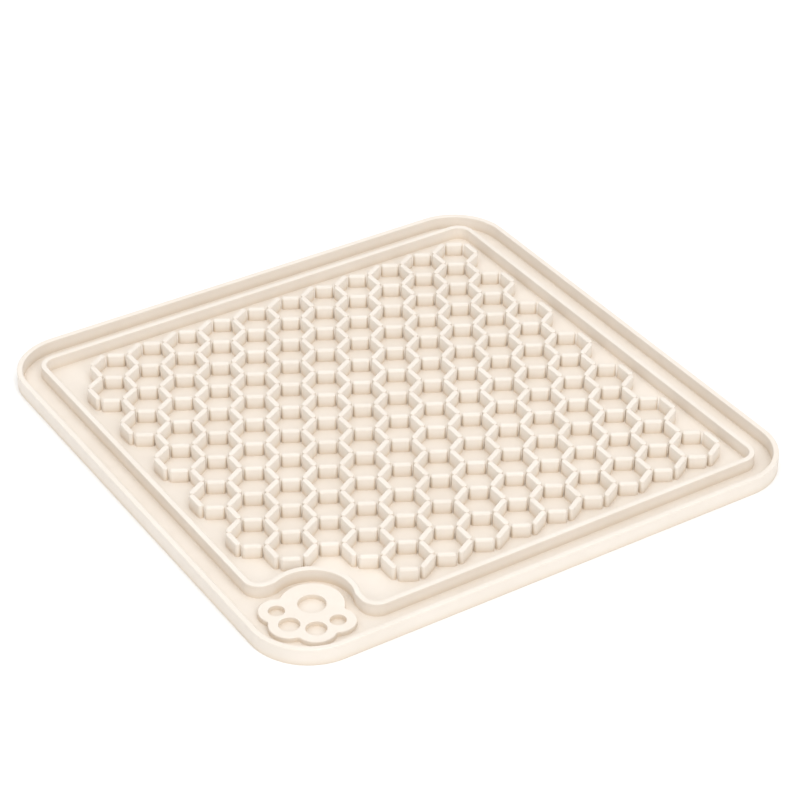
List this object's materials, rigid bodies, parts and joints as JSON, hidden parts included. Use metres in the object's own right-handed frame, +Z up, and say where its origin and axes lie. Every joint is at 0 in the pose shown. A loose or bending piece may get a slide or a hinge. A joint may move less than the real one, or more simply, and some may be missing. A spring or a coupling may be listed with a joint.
{
  "type": "lick mat",
  "caption": "Square moulded silicone lick mat: thin sheet with a raised rim, a fence inside it, a honeycomb of short upright ribs and a paw badge in one corner.",
  "frame": {"origin": "centre of the flat underside, on the table", "axes": "+Z up, away from the table; the paw badge is in the corner at -X and -Y, and the honeycomb's rows run along X"},
  "size_m": [0.2, 0.2, 0.0061],
  "materials": {
    "silicone": "matte, cream"
  },
  "bodies": {
    "root": {"base_sheet": "silicone", "outer_rim": "silicone", "inner_fence": "silicone", "paw_badge": "silicone", "rib_row_01": "silicone", "rib_row_02": "silicone", "rib_row_03": "silicone", "rib_row_04": "silicone", "rib_row_05": "silicone", "rib_row_06": "silicone", "rib_row_07": "silicone", "rib_row_08": "silicone", "rib_row_09": "silicone", "rib_row_10": "silicone", "rib_row_11": "silicone", "rib_row_12": "silicone", "rib_row_13": "silicone", "rib_row_14": "silicone", "rib_row_15": "silicone", "rib_row_16": "silicone", "rib_row_17": "silicone", "rib_row_18": "silicone", "rib_row_19": "silicone", "rib_row_20": "silicone", "rib_row_21": "silicone", "rib_row_22": "silicone", "rib_row_23": "silicone", "rib_row_24": "silicone", "rib_row_25": "silicone", "rib_row_26": "silicone", "rib_row_27": "silicone"}
  },
  "joints": []
}
